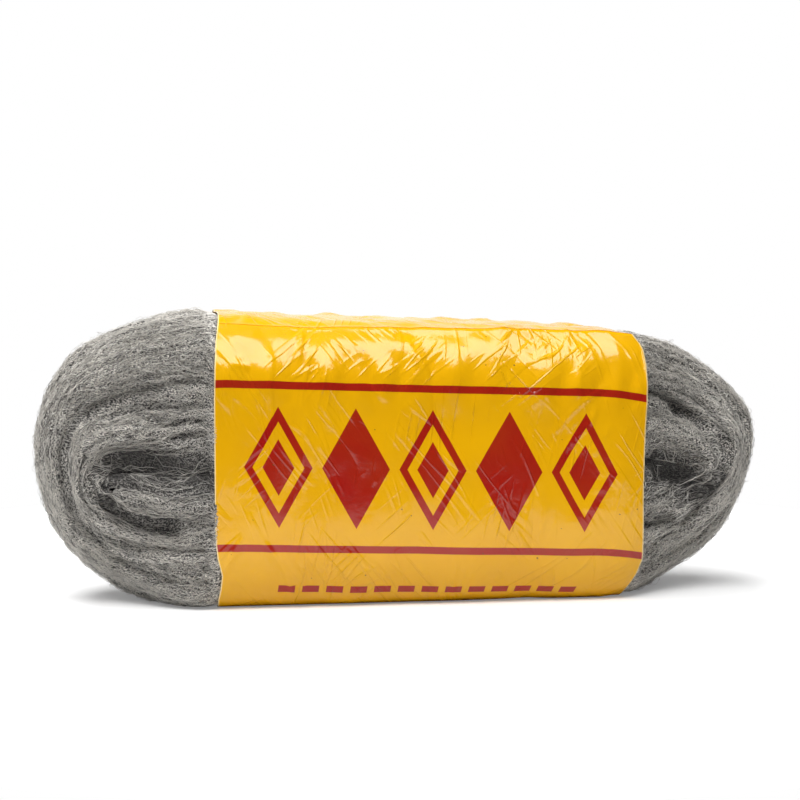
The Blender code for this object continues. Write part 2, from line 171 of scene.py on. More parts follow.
def end_arc(along, arc):
    """Quarter of a superellipse: 1 where the rounding starts, falling to 0 at the end of its reach."""
    reach, fullness = arc
    return (1 - np.clip(along / reach, 0, 1) ** fullness) ** (1 / fullness)


def outline(x, above):
    """Height of the wound outside at x: the top or underside less a quarter arc down or up to each nose."""
    ends = ("left", "right")
    arcs = [np.where(above, TOP_ARC[end][k], BOTTOM_ARC[end][k]) for end in ends for k in (0, 1)]
    left, right = arcs[0] - HALF_LENGTH, HALF_LENGTH - arcs[2]
    top = TOP_HEIGHT - TOP_FALL * np.clip((x - left) / (right - left), 0, 1)
    level = np.where(above, top, -FLOOR_PRESS)
    nose = np.where(x < 0, NOSE_HEIGHT["left"], NOSE_HEIGHT["right"])
    return nose + (level - nose) * end_arc(left - x, arcs[:2]) * end_arc(x - right, arcs[2:])


def eye_height(x):
    """Height of the eye line at x, which climbs to the right."""
    rightward = (x + HALF_LENGTH) / (2 * HALF_LENGTH)
    return EYE_HEIGHT["left"] + (EYE_HEIGHT["right"] - EYE_HEIGHT["left"]) * rightward


def toward_end(x):
    """0 where the film holds the wool, rising to 1 at the ends of the eye."""
    start = film_high.x - RELEASE_LENGTH
    return smooth_step((np.abs(x) - start) / (HALF_LENGTH * EYE_SHARE - start))


def noise(along, across, along_cells, across_cell, seed):
    """Random values on a grid of cells, smoothly joined.

    along runs from 0 to 1, where it meets itself. across is in metres.
    """
    u, v = along * along_cells, across / across_cell + 0.5
    i, j = np.floor(u).astype(int), np.floor(v).astype(int)
    fu, fv = smooth_step(u - i), smooth_step(v - j)
    table = np.random.default_rng(seed).random((along_cells, NOISE_ROWS))
    i0, i1, j0, j1 = i % along_cells, (i + 1) % along_cells, j % NOISE_ROWS, (j + 1) % NOISE_ROWS
    low = table[i0, j0] + (table[i1, j0] - table[i0, j0]) * fu
    high = table[i0, j1] + (table[i1, j1] - table[i0, j1]) * fu
    return low + (high - low) * fv


def hank_base(lap, across):
    """The wound form without its relief.

    lap is the angle round the winding: 0 at the right nose, a quarter turn at the top, a half turn at the
    left nose. across is the angle over the section: 0 at the front eye line, a quarter turn at the rim, a
    half turn at the back eye line. A point lies on the ray from the eye line to the outline, at its ring's
    share of the way, and as far forward as a superellipse through the eye and the rim gives there.
    """
    outer_x = HALF_LENGTH * np.cos(lap)
    above = np.sin(lap) >= 0
    c, s = np.cos(across), np.sin(across)
    ring = s / (np.abs(c) ** HELD_FULLNESS + np.abs(s) ** HELD_FULLNESS) ** (1 / HELD_FULLNESS)
    ring = np.clip(ring, 0, 1)
    x = outer_x * (EYE_SHARE + (1 - EYE_SHARE) * ring)
    within = np.minimum(x - film_low.x, film_high.x - x)
    free = smooth_step(-within / BULGE_LENGTH)
    held = CORE_SQUEEZE[0] + (CORE_SQUEEZE[1] - CORE_SQUEEZE[0]) * smooth_step(within / RELEASE_LENGTH)
    held = held * (1 - free)
    edge = outline(outer_x, above) - np.where(above, held, -held)
    eye = eye_height(outer_x) + EYE_WANDER * np.sin(outer_x / EYE_WANDER_RUN) * free
    floor = (FILM_GAP + 2 * FILM_THICKNESS) * (1 - free)
    z = np.maximum(eye + ring * (edge - eye), floor)
    end_share = toward_end(x)
    fullness = HELD_FULLNESS + (END_FULLNESS - HELD_FULLNESS) * end_share
    share = np.clip(1 - ring**fullness, 0, 1) ** (1 / fullness)
    half = HALF_THICKNESS - held - END_THINNING * end_share
    phase = TURNS * ring - lap / (2 * math.pi) % 1 - TURN_START
    deepest = EYE_GROOVE + (OUTER_GROOVE - EYE_GROOVE) * ring
    groove = deepest * (1 - np.abs(np.sin(math.pi * phase))) * smooth_step((1 - ring) / RIM_BAND - 0.5)
    sunk = (EYE_HOLLOW + (groove - EYE_HOLLOW) * smooth_step(ring / EYE_BAND)) * free
    y = -np.sign(c) * (half * share - sunk)
    return np.stack([x, y, z], axis=-1), ring, free


def normal_of(lap, across, step=0.002):
    """Outward unit normal of the wound form, and how far it runs per radian each way."""
    by_lap = (hank_base(lap + step, across)[0] - hank_base(lap - step, across)[0]) / (2 * step)
    low, high = np.maximum(across - step, 0), np.minimum(across + step, math.pi)
    by_across = (hank_base(lap, high)[0] - hank_base(lap, low)[0]) / (high - low)[..., None]
    normal = np.cross(by_across, by_lap)
    normal /= np.maximum(np.linalg.norm(normal, axis=-1, keepdims=True), 1e-12)
    return normal, by_lap, by_across


def folds(point):
    """How deep the folds are: along each line a trough of bell section, fading out over its two ends.

    The back has the same turns seen from behind, so its folds are the front's, wandering off a little in z.
    """
    x = point[..., 0]
    z = point[..., 2] + np.where(point[..., 1] > 0, BACK_WANDER * np.sin(x / BACK_WANDER_RUN), 0)
    depth = np.zeros_like(x)
    for line, deep, half_width in LEFT_FOLDS + RIGHT_FOLDS:
        line = np.array(line) * MILLIMETRE
        run = np.hypot(*np.diff(line, axis=0).T)
        nearest, place = np.full_like(x, 1.0), np.zeros_like(x)
        for k, length in enumerate(run):
            (x0, z0), (x1, z1) = line[k], line[k + 1]
            along = np.clip(((x - x0) * (x1 - x0) + (z - z0) * (z1 - z0)) / length**2, 0, 1)
            away = np.hypot(x - x0 - along * (x1 - x0), z - z0 - along * (z1 - z0))
            place = np.where(away < nearest, (run[:k].sum() + along * length) / run.sum(), place)
            nearest = np.minimum(nearest, away)
        fade = smooth_step(FOLD_FADE * place + FOLD_START)
        fade = fade * smooth_step(FOLD_FADE * (1 - place) + FOLD_END)
        depth = depth + deep * MILLIMETRE * fade * np.exp(-((nearest / (half_width * MILLIMETRE)) ** 2))
    limit = np.where(depth > 0, DEEPEST_FOLD, PROUDEST_FOLD)
    return limit * np.tanh(depth / limit) * smooth_step((np.abs(point[..., 1]) - FACE_START) / FACE_SPAN)


def shelter(point):
    """How much shade to paint: 0 on the open wool, rising to 1 where little light gets in, in deep folds and
    about the eye.
    """
    x, z = point[..., 0], point[..., 2]
    about_eye = EYE_SHADE * np.exp(-(((z - EYE_SHADE_HEIGHT) / EYE_SHADE_SPREAD) ** 2))
    about_eye = about_eye * smooth_step((EYE_SHADE_END - np.abs(x)) / EYE_SHADE_FADE)
    return np.clip(folds(point) / DARK_FOLD + about_eye, 0, 1)


def relief(lap, across, point, ring, free):
    """How far the wool stands out: plies, lumps and tufts, long round the lap, less its folds."""
    along = lap / (2 * math.pi) % 1
    place = across * SECTION_RUN + SWAY * np.sin(2 * math.pi * (SWAYS_A_LAP * along + SWAY_START))
    ply = np.abs(noise(along, place, **PLY_CELLS) - 0.5) * 2
    lump = noise(along, place, **LUMP_CELLS) - 0.5
    tuft = noise(along, place, **TUFT_CELLS) - 0.5
    depth = PLY_DEPTH * (ply - 0.5) + LUMP_DEPTH * lump + TUFT_DEPTH * tuft
    return (depth * smooth_step(ring / EYE_BAND) - folds(point) - SINK) * free


def even_laps(count):
    """Lap angles once round, closer together at the two noses than along the held middle."""
    turn = np.arange(count) * 2 * math.pi / count
    return turn - NOSE_CROWDING * np.sin(2 * turn)


def grid_mesh(name, points, close_rows=False):
    """A mesh of quads over a grid of points. Columns meet round, and rows too if asked."""
    rows, columns = points.shape[:2]
    index = np.arange(rows * columns).reshape(rows, columns)
    below = index if close_rows else index[:-1]
    above = np.roll(index, -1, axis=0) if close_rows else index[1:]
    faces = np.stack([below, np.roll(below, -1, axis=1), np.roll(above, -1, axis=1), above], axis=-1)
    mesh = bpy.data.meshes.new(name)
    mesh.from_pydata(points.reshape(-1, 3), [], faces.reshape(-1, 4))
    return mesh


def turned_out(mesh, weld=0.0):
    """Closes seams within the weld distance and turns every face outwards."""
    shape = bmesh.new()
    shape.from_mesh(mesh)
    if weld:
        bmesh.ops.remove_doubles(shape, verts=shape.verts, dist=weld)
    bmesh.ops.recalc_face_normals(shape, faces=shape.faces)
    shape.to_mesh(mesh)
    shape.free()
    mesh.shade_smooth()


def placed(name, mesh, *materials):
    """An object of that name for a finished mesh, riding on the pad's one body."""
    made = bpy.data.objects.new(name, mesh)
    for material in materials:
        mesh.materials.append(material)
    bpy.context.scene.collection.objects.link(made)
    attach(made, "root")
    return made


class Wire:
    """A socket in a finish. Arithmetic on it adds Math nodes."""

    def __init__(self, finish, socket):
        self.finish, self.socket = finish, socket

    def maths(self, operation, *others):
        return self.finish.maths(operation, self, *others)

    def kept_within(self, low, high):
        return self.maths("MAXIMUM", low).maths("MINIMUM", high)

    def __add__(self, other):
        return self.maths("ADD", other)

    def __sub__(self, other):
        return self.maths("SUBTRACT", other)

    def __mul__(self, other):
        return self.maths("MULTIPLY", other)

    def __truediv__(self, other):
        return self.maths("DIVIDE", other)

    def __abs__(self):
        return self.maths("ABSOLUTE")

    def __rsub__(self, other):
        return self.finish.maths("SUBTRACT", other, self)

    __radd__ = __add__


class Finish:
    """A material under construction, round its Principled shader."""

    def __init__(self, name):
        self.material = bpy.data.materials.new(name)
        self.material.use_nodes = True
        self.tree = self.material.node_tree
        self.shader = self.tree.nodes["Principled BSDF"]

    def join(self, value, socket):
        if isinstance(value, Wire):
            self.tree.links.new(value.socket, socket)
        else:
            socket.default_value = value

    def node(self, kind, settings=None, sockets=None, output=0):
        """Any node: its type, its settings, a ramp's stops among them, and its sockets' values or links."""
        made = self.tree.nodes.new(kind)
        for key, value in (settings or {}).items():
            if key == "stops":
                ramp = made.color_ramp.elements
                while len(ramp) < len(value):
                    ramp.new(0.5)
                for stop, (position, colour) in zip(ramp, value):
                    stop.position, stop.color = position, colour
            else:
                setattr(made, key, value)
        for key, value in (sockets or {}).items():
            self.join(value, made.inputs[key])
        return Wire(self, made.outputs[output])

    def maths(self, operation, *values):
        made = self.tree.nodes.new("ShaderNodeMath")
        made.operation = operation
        for value, socket in zip(values, made.inputs):
            self.join(value, socket)
        return Wire(self, made.outputs[0])

    def noise(self, place, scale, detail, **sockets):
        """A noise texture at a place, with so many cells in a metre."""
        sockets = {"Vector": place, "Scale": scale, "Detail": detail, **sockets}
        return self.node("ShaderNodeTexNoise", {}, sockets)

    def drawn_out(self, place, along_scale, across_scale, tilt):
        """A place in long cells: so many in a metre along and across, turned by the tilt."""
        size = (1 / along_scale, 1 / across_scale, 1.0)
        sockets = {"Vector": place, "Rotation": (0.0, 0.0, tilt), "Scale": size}
        return self.node("ShaderNodeMapping", {"vector_type": "TEXTURE"}, sockets)

    def blend(self, factor, first, second):
        """A colour between two colours."""
        return self.node("ShaderNodeMix", {"data_type": "RGBA"}, {0: factor, 6: first, 7: second}, 2)

    def set(self, **values):
        for key, value in values.items():
            self.join(value, self.shader.inputs[key.replace("_", " ")])


lap_grid, across_grid = np.meshgrid(even_laps(LAP_STEPS), np.linspace(0, math.pi, ACROSS_STEPS + 1))
core_base, core_ring, core_free = hank_base(lap_grid, across_grid)
core_normal = normal_of(lap_grid, across_grid)[0]
core_relief = relief(lap_grid, across_grid, core_base, core_ring, core_free)
core_points = core_base + core_normal * core_relief[..., None]
hank_mesh = grid_mesh("wool_core", core_points)


def strand_places(points):
    """Real distances over the wool: along the winding from the nearer nose, and across from the front eye.

    The two ends of the pad lie apart in the pattern. Their seams are under the film, a quarter lap from
    each nose.
    """
    quarter, half = LAP_STEPS // 4, LAP_STEPS // 2
    step = np.linalg.norm(np.roll(points, -1, axis=1) - points, axis=-1)
    gone = np.cumsum(step, axis=1) - step
    column = np.arange(LAP_STEPS)
    at_left = (column >= quarter) & (column < 3 * quarter)
    from_nose = np.where(at_left, gone - gone[:, half : half + 1], gone)
    from_nose = from_nose - np.where(column >= 3 * quarter, step.sum(1, keepdims=True), 0)
    over = np.linalg.norm(np.diff(points, axis=0), axis=-1)
    across = np.concatenate([np.zeros((1, LAP_STEPS)), np.cumsum(over, axis=0)])
    return np.stack([from_nose, across, np.where(at_left, ENDS_APART, 0.0) + 0 * across], axis=-1)


strand_map = hank_mesh.attributes.new("strand", "FLOAT_VECTOR", "POINT")
strand_map.data.foreach_set("vector", strand_places(core_points).astype(np.float32).ravel())
# Painted shade: how sheltered each point is, which darkens the wool's colour in its deep folds and about the
# eye
painted_shade_map = hank_mesh.attributes.new("sunken", "FLOAT", "POINT")
painted_shade_map.data.foreach_set("value", shelter(core_base).astype(np.float32).ravel())
turned_out(hank_mesh, weld=2e-7)

# The grain of the wool: how often a line comes along the winding and across it in a metre, its tilt, and how
# thin it is. Then its shades, all painted light: painted shade between the fibres up to a painted glint on
# one, and painted shade deep inside.
GRAIN = [
    (75.0, 1250.0, 0.10, 12.0),
    (95.0, 1450.0, -0.25, 12.0),
    (115.0, 1350.0, 0.60, 12.0),
    (125.0, 1200.0, -0.85, 13.0),
]
GRAIN_SHADES = [
    (0.00, (0.026, 0.024, 0.024, 1.0)),
    (0.36, (0.155, 0.147, 0.138, 1.0)),
    (0.68, (1.0, 0.955, 0.88, 1.0)),
]
DEEP_SHADE = (0.030, 0.028, 0.027, 1.0)
DEEPEST_SHADE_SHARE = 0.86
GLINTS_A_METRE = 2100.0
GLINT_START = 0.40
GLINT_RISE = 5.5
LEAST_LIT = 0.18
GRAIN_HEIGHT = 0.0003

wool = Finish("wool_core")
strand = wool.node("ShaderNodeAttribute", {"attribute_name": "strand"}, output=1)
sunken = wool.node("ShaderNodeAttribute", {"attribute_name": "sunken"}, output=2)


def threads(along_scale, across_scale, tilt, thinness):
    """Fine wavy lines along the winding: where a drawn-out, swirled noise passes its middle value."""
    place = wool.drawn_out(strand, along_scale, across_scale, tilt)
    field = wool.noise(place, 1.0, 2.0, Roughness=0.6, Distortion=0.45)
    return (1 - abs(field - 0.5) * thinness).maths("MAXIMUM", 0.0)


fibre_field = threads(*GRAIN[0])
for layer in GRAIN[1:]:
    fibre_field = fibre_field.maths("MAXIMUM", threads(*layer))
# Painted glints: a fine noise breaks the threads into short bright bits, as if light caught them here and
# there
glint = wool.noise(strand, GLINTS_A_METRE, 1.0)
lit_field = fibre_field * ((glint - GLINT_START) * GLINT_RISE).kept_within(LEAST_LIT, 1.0)
wool_shade = wool.node("ShaderNodeValToRGB", {"stops": GRAIN_SHADES}, {"Fac": lit_field})
# Painted shade: the colour goes towards the deep shade where the wool is sheltered
wool_colour = wool.blend(sunken * DEEPEST_SHADE_SHARE, wool_shade, DEEP_SHADE)
wool_bump = wool.node(
    "ShaderNodeBump", {}, {"Height": fibre_field, "Strength": 1.0, "Distance": GRAIN_HEIGHT}
)
wool.set(Base_Color=wool_colour, Metallic=0.20, Roughness=0.50, Normal=wool_bump)

wool_core = placed("wool_core", hank_mesh, wool.material)
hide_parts("wool_hank")


# The fibres on the outside of the wool. Each is a curled sliver of shaved steel, about a tenth of a
# millimetre thick. Most lie roughly along the winding and cross their neighbours, and a few stand off as
# stray hairs.
FIBRE_RADIUS = 0.000050
THICKNESS_RANGE = (0.7, 1.5)
SPAN_RANGE = (0.5, 1.35)
CURL_RANGE = (0.3, 1.3)
CURLS_RANGE = (0.8, 2.4)
BEND = 0.7
LIFT_POWER = 1.6
LIFT_RIPPLE = 0.25
BED_CLEARANCE = 0.00005
TABLE_CLEARANCE = 0.0003
EYE_MARGIN = 0.03
SHORTEST_RUN = (0.010, 0.006)
LONGEST_STRETCH = 1.25
DRAWS_A_FIBRE = 24
TUCKED_IN = (0.002, 0.005)
DENSEST = 0.98
DULL_SPOTS = 260.0
DULLEST = 0.55
ROUGHNESS_SPREAD = 0.2

# Each sort: how many, their length, the points along one, how far they stray from the winding's direction,
# how much they curl, how high they lift, their thickness, and how well they keep out of the wool's hollows.
# Their colours, from near black to white on the one steel, are painted shade and painted glints, and keeping
# the pale ones out of the hollows paints shade there.
FIBRE_SORTS = {
    "wool_fibres_long": dict(
        count=4600, length=0.0130, rings=9, spread=0.24, curl=0.55, lift=0.0012, thickness=0.95,
        keep_out=0.65, colour=(0.90, 0.86, 0.79, 1.0), roughness=0.40, seed=20,
    ),
    "wool_fibres_shaded": dict(
        count=3000, length=0.0075, rings=6, spread=0.45, curl=0.60, lift=0.0009, thickness=1.00,
        keep_out=0.0, colour=(0.10, 0.094, 0.090, 1.0), roughness=0.48, seed=21,
    ),
    "wool_fibres_grey": dict(
        count=4600, length=0.0075, rings=6, spread=0.42, curl=0.65, lift=0.0011, thickness=0.95,
        keep_out=0.6, colour=(0.50, 0.478, 0.445, 1.0), roughness=0.42, seed=22,
    ),
    "wool_fibres_pale": dict(
        count=7000, length=0.0066, rings=6, spread=0.50, curl=0.75, lift=0.0012, thickness=0.95,
        keep_out=0.85, colour=(1.0, 0.955, 0.88, 1.0), roughness=0.36, seed=23,
    ),
    "wool_fibres_glinting": dict(
        count=11500, length=0.0026, rings=4, spread=0.55, curl=0.70, lift=0.0013, thickness=1.55,
        keep_out=0.92, colour=(1.0, 0.97, 0.91, 1.0), roughness=0.30, seed=24,
    ),
    "wool_strays": dict(
        count=1400, length=0.0085, rings=9, spread=0.80, curl=1.10, lift=0.0024, thickness=0.75,
        keep_out=0.6, colour=(0.70, 0.67, 0.62, 1.0), roughness=0.40, seed=25,
    ),
}


def exposed_places(count, keep_out, rng):
    """Random (lap, across) places, even over the wool that the film leaves bare, but for its hollows."""
    lap = rng.random(DRAWS_A_FIBRE * count) * 2 * math.pi
    across = rng.random(DRAWS_A_FIBRE * count) * math.pi
    point = hank_base(lap, across)[0]
    bare = (point[:, 0] < film_low.x + TUCKED_IN[0]) | (point[:, 0] > film_high.x - TUCKED_IN[1])
    lap, across, point = lap[bare], across[bare], point[bare]
    _, by_lap, by_across = normal_of(lap, across)
    area = np.linalg.norm(np.cross(by_lap, by_across), axis=-1)
    # Sorts that keep out of the sheltered hollows leave them to the darker fibres, which paints shade there
    wanted = area * (1 - keep_out * shelter(point))
    chosen = np.flatnonzero(rng.random(len(area)) * np.quantile(area, DENSEST) < wanted)[:count]
    return lap[chosen], across[chosen]


def fibre_paths(sort, rng):
    """Centre lines over the wool, each along the winding but for a random angle, and wandering as it goes.

    Its height over the wool rises from both ends to a random lift and ripples. It sinks to the wool at the
    film, and one that would run down the steep wall of a fold is left out.
    """
    lap, across = exposed_places(sort["count"], sort["keep_out"], rng)
    count, rings = len(lap), sort["rings"]
    _, by_lap, by_across = normal_of(lap, across)
    lap_run = np.maximum(np.linalg.norm(by_lap, axis=-1), SHORTEST_RUN[0])
    across_run = np.maximum(np.linalg.norm(by_across, axis=-1), SHORTEST_RUN[1])
    angle = rng.normal(0, sort["spread"], count)[:, None]
    bend = rng.normal(0, BEND, count)[:, None]
    span = sort["length"] * rng.uniform(*SPAN_RANGE, count)[:, None]
    share = np.linspace(-0.5, 0.5, rings)[None, :]
    ripple = rng.uniform(0, 2 * math.pi, (3, count, 1))
    pace = rng.uniform(*CURLS_RANGE, (2, count, 1))
    wave = sort["curl"] * rng.uniform(*CURL_RANGE, (count, 1))
    wave = wave * np.sin(2 * math.pi * pace[0] * share + ripple[0])
    heading = angle + bend * share + wave
    step = span / (rings - 1)
    go_lap = np.cumsum(np.cos(heading) * step, axis=1)
    go_across = np.cumsum(np.sin(heading) * step, axis=1)
    lap_path = lap[:, None] + (go_lap - go_lap.mean(1, keepdims=True)) / lap_run[:, None]
    across_path = across[:, None] + (go_across - go_across.mean(1, keepdims=True)) / across_run[:, None]
    across_path = np.clip(across_path, EYE_MARGIN, math.pi - EYE_MARGIN)
    base, ring, free = hank_base(lap_path, across_path)
    normal = normal_of(lap_path, across_path)[0]
    arch = np.cos(math.pi * share) ** 0.5
    height = sort["lift"] * rng.random((count, 1)) ** LIFT_POWER * arch
    rippled = 1 - LIFT_RIPPLE + LIFT_RIPPLE * np.sin(2 * math.pi * pace[1] * share + ripple[1])
    height = height * rippled + BED_CLEARANCE
    bed = relief(lap_path, across_path, base, ring, free)
    path = base + normal * (bed + height * free)[..., None]
    path[..., 2] = np.maximum(path[..., 2], TABLE_CLEARANCE)
    run = np.linalg.norm(np.diff(path, axis=1), axis=-1).sum(1)
    lies = run < LONGEST_STRETCH * span[:, 0]
    return path[lies], normal[lies]


def fibre_mesh(name, path, normal, radius):
    """Three-sided slivers along the paths, as one mesh. Each closes to a point at both ends."""
    tangent = np.gradient(path, axis=1)
    tangent /= np.maximum(np.linalg.norm(tangent, axis=-1, keepdims=True), 1e-12)
    side = np.cross(tangent, normal)
    side /= np.maximum(np.linalg.norm(side, axis=-1, keepdims=True), 1e-12)
    up = np.cross(side, tangent)
    count, rings = path.shape[:2]
    turn = np.arange(3) * 2 * math.pi / 3
    offset = up[:, :, None] * np.cos(turn)[:, None] + side[:, :, None] * np.sin(turn)[:, None]
    body = (path[:, :, None] + offset * radius[:, None, None, None])[:, 1:-1]
    points = np.concatenate([body.reshape(count, -1, 3), path[:, :1], path[:, -1:]], axis=1)
    inner = rings - 2
    ring = np.arange(inner * 3).reshape(inner, 3)
    beside = np.roll(ring, -1, axis=1)
    quads = np.stack([ring[:-1], beside[:-1], beside[1:], ring[1:]], axis=-1).reshape(-1, 4)
    first = np.stack([beside[0], ring[0], np.full(3, inner * 3)], axis=-1)
    last = np.stack([ring[-1], beside[-1], np.full(3, inner * 3 + 1)], axis=-1)
    base = (np.arange(count) * points.shape[1])[:, None, None]
    quads = (quads[None] + base).reshape(-1, 4)
    caps = (np.concatenate([first, last])[None] + base).reshape(-1, 3)
    mesh = bpy.data.meshes.new(name)
    mesh.vertices.add(count * points.shape[1])
    mesh.vertices.foreach_set("co", points.astype(np.float32).ravel())
    mesh.loops.add(quads.size + caps.size)
    mesh.loops.foreach_set("vertex_index", np.concatenate([quads.ravel(), caps.ravel()]).astype(np.int32))
    mesh.polygons.add(len(quads) + len(caps))
    starts = np.concatenate([np.arange(len(quads)) * 4, quads.size + np.arange(len(caps)) * 3])
    mesh.polygons.foreach_set("loop_start", starts.astype(np.int32))
    mesh.update(calc_edges=True)
    mesh.validate()
    mesh.shade_smooth()
    return mesh


def fibre_finish(name, colour, roughness):
    """Bright shaved steel, dulled unevenly from place to place."""
    steel = Finish(name)
    place = steel.node("ShaderNodeTexCoord", output=3)
    dull = steel.noise(place, DULL_SPOTS, 2.0)
    dark = tuple(DULLEST * c for c in colour[:3]) + (1.0,)
    roughness = dull * ROUGHNESS_SPREAD + (roughness - ROUGHNESS_SPREAD / 2)
    steel.set(Base_Color=steel.blend(dull, dark, colour), Metallic=0.3, Roughness=roughness)
    return steel.material


for name, sort in FIBRE_SORTS.items():
    rng = np.random.default_rng(sort["seed"])
    path, normal = fibre_paths(sort, rng)
    radius = FIBRE_RADIUS * sort["thickness"] * rng.uniform(*THICKNESS_RANGE, len(path))
    finish = fibre_finish(name, sort["colour"], sort["roughness"])
    piece = placed(name, fibre_mesh(name, path, normal, radius), finish)


# The film sleeve. Polythene tube, blown and laid flat, printed, cut to length and pulled over the hank, so
# it keeps the two creases of its lay-flat edges and puckers where it turns over the wool.
CREASE_FORWARD = 0.020
SLEEVE_LEFT = film_low.x
SLEEVE_RIGHT = film_high.x
ALONG_STEPS = 240
GIRTH_STEPS = 180
FILM_YELLOW = (0.80, 0.425, 0.0012, 1.0)
FILM_DEEP = (0.71, 0.345, 0.0006, 1.0)
# A painted shadow for the top crease, dark amber
FOLD_SHADOW_AMBER = (0.42, 0.15, 0.0006, 1.0)
# A painted highlight for the cut edges, pale
CUT_EDGE_HIGHLIGHT = (0.95, 0.80, 0.45, 1.0)
DIRT = (0.10, 0.05, 0.01, 1.0)
PRINT_RED = (0.33, 0.007, 0.0045, 1.0)

# How far the cut edges stray from straight, at heights over the table
RIM_LEFT = [
    (0.0, 0.0009), (0.0026, 0.0009), (0.006, 0.0015), (0.010, 0.0018), (0.014, 0.0007), (0.018, 0.0002),
    (0.030, 0.0), (0.056, 0.0), (0.064, 0.0002), (0.0705, 0.0007), (0.0757, 0.0015), (0.079, 0.0023),
]
RIM_RIGHT = [
    (0.0, -0.0045), (0.0027, -0.0034), (0.0073, -0.0008), (0.0113, 0.0005), (0.028, 0.0001),
    (0.041, 0.0003), (0.055, 0.0009), (0.0642, 0.0012), (0.068, 0.0009), (0.0695, 0.0002),
    (0.072, -0.0019), (0.0745, -0.0052), (0.077, -0.0065),
]
# The ridge of the top crease: its height and how fast its sides run out, at the left rim and at the right.
# The crease below has the left rim's all along.
CREASE_RISE = (0.0006, 0.0024)
CREASE_SPREAD = (0.0011, 0.0034)
# Puckers, where the film turns over the wool: it bulges below the top crease, behind the rear shoulder and
# by the crease below. The last two rows are the first one's, shifted along.
PUCKER_BULGE = 0.0012
PUCKER_PLACE = 0.0150
PUCKER_SPREAD = 0.0060
REAR_SHOULDER = 0.022
REAR_SHIFT = 0.004
UNDER_SHIFT = 0.008
# Below the front row the film is slack, but not near its rims
UNDER_PUCKER = 0.0008
SLACK_PLACE = 0.0270
SLACK_LEAN = 0.05
SLACK_SPREAD = 0.0065
SLACK_MEAN = 0.6
SLACK_SWING = 0.7
SLACK_RUNS = (0.0062, 0.0148)
TAUT_RIM = 0.007
TAUT_FADE = 0.010
# The dents that part the bulges: their places along the pad, their half-width, which grows as they run
# down, and how far they lean for each metre down
DENT_FLARE = 20
DENT_FLARE_END = 0.05
DENTS = [
    (-0.0445, 0.0022, 0.10), (-0.0325, 0.0024, 0.15), (-0.0270, 0.0022, 0.25), (-0.0178, 0.0024, 0.05),
    (-0.0118, 0.0016, 0.20), (-0.0040, 0.0020, -0.15), (0.0048, 0.0030, 0.10), (0.0155, 0.0032, -0.20),
    (0.0262, 0.0034, 0.0), (0.0400, 0.0024, -0.25), (0.0508, 0.0032, -0.35), (0.0582, 0.0020, -0.10),
]
# Sharp little creases: from (along, down from the crease) to (along, down), their height and half-width
NICKS = [
    ((-0.0490, 0.0085), (-0.0395, 0.0255), 0.00034, 0.0007),
    ((-0.0465, 0.0090), (-0.0440, 0.0140), 0.00040, 0.0008),
    ((-0.0430, 0.0265), (-0.0370, 0.0285), 0.00014, 0.0006),
    ((-0.0390, 0.0040), (-0.0372, 0.0330), 0.00042, 0.0014),
    ((-0.0298, 0.0008), (-0.0303, 0.0115), 0.00045, 0.0009),
    ((-0.0262, 0.0120), (-0.0215, 0.0300), 0.00055, 0.0030),
    ((-0.0140, 0.0160), (-0.0065, 0.0200), 0.00030, 0.0008),
    ((-0.0020, 0.0030), (0.0012, 0.0120), 0.00040, 0.0008),
    ((0.0012, 0.0070), (0.0036, 0.0150), 0.00040, 0.0009),
    ((0.0290, 0.0210), (0.0370, 0.0180), 0.00026, 0.0006),
    ((0.0345, 0.0300), (0.0530, 0.0130), 0.00045, 0.0008),
    ((0.0400, 0.0275), (0.0445, 0.0235), 0.00035, 0.0006),
    ((0.0395, 0.0345), (0.0500, 0.0200), 0.00040, 0.0012),
    ((0.0470, 0.0340), (0.0545, 0.0250), 0.00030, 0.0007),
    ((0.0460, 0.0430), (0.0600, 0.0390), 0.00024, 0.0006),
    ((0.0440, 0.0470), (0.0600, 0.0500), 0.00018, 0.0008),
    ((-0.0290, 0.0200), (-0.0300, 0.0480), 0.00024, 0.0016),
    ((0.0080, 0.0180), (0.0110, 0.0500), 0.00022, 0.0016),
    ((-0.0410, 0.0560), (-0.0310, 0.0740), 0.00050, 0.0012),
    ((-0.0360, 0.0600), (-0.0290, 0.0730), 0.00040, 0.0010),
    ((-0.0510, 0.0440), (-0.0380, 0.0460), 0.00018, 0.0007),
    ((0.0100, 0.0600), (0.0115, 0.0740), 0.00026, 0.0008),
    ((0.0500, 0.0560), (0.0590, 0.0640), 0.00018, 0.0008),
    ((-0.0510, 0.0690), (-0.0460, 0.0560), 0.00040, 0.0012),
]
CREASE_WANDER = 0.0005
CREASE_WANDER_RUN = 0.0030
CREASE_WANDER_START = 40
CREASE_FADE = 2.2
CREASE_SHARPNESS = 1.3

# The rest of the film's creases: at which distances down from the top crease they gather, and how closely,
# which part of the front is calmer, and their lean, half-length, height and half-width
LOOSE_CREASES = 90
LOOSE_SEED = 41
GATHERED_TOP_FRONT = (0.014, 0.010)
GATHERED_TOP_REAR = (-0.016, 0.010)
GATHERED_FOOT_FRONT = (0.115, 0.012)
GATHERED_FOOT_REAR = (-0.110, 0.012)
ALL_ROUND = (-0.125, 0.125)
CALM_FRONT = (0.022, 0.070)
CALM = 0.5
LOOSE_LEAN = 0.65
LOOSE_HALF_LENGTH = (0.003, 0.013)
LOOSE_HEIGHT = (0.00008, 0.00034)
LOOSE_HALF_WIDTH = (0.0006, 0.0018)

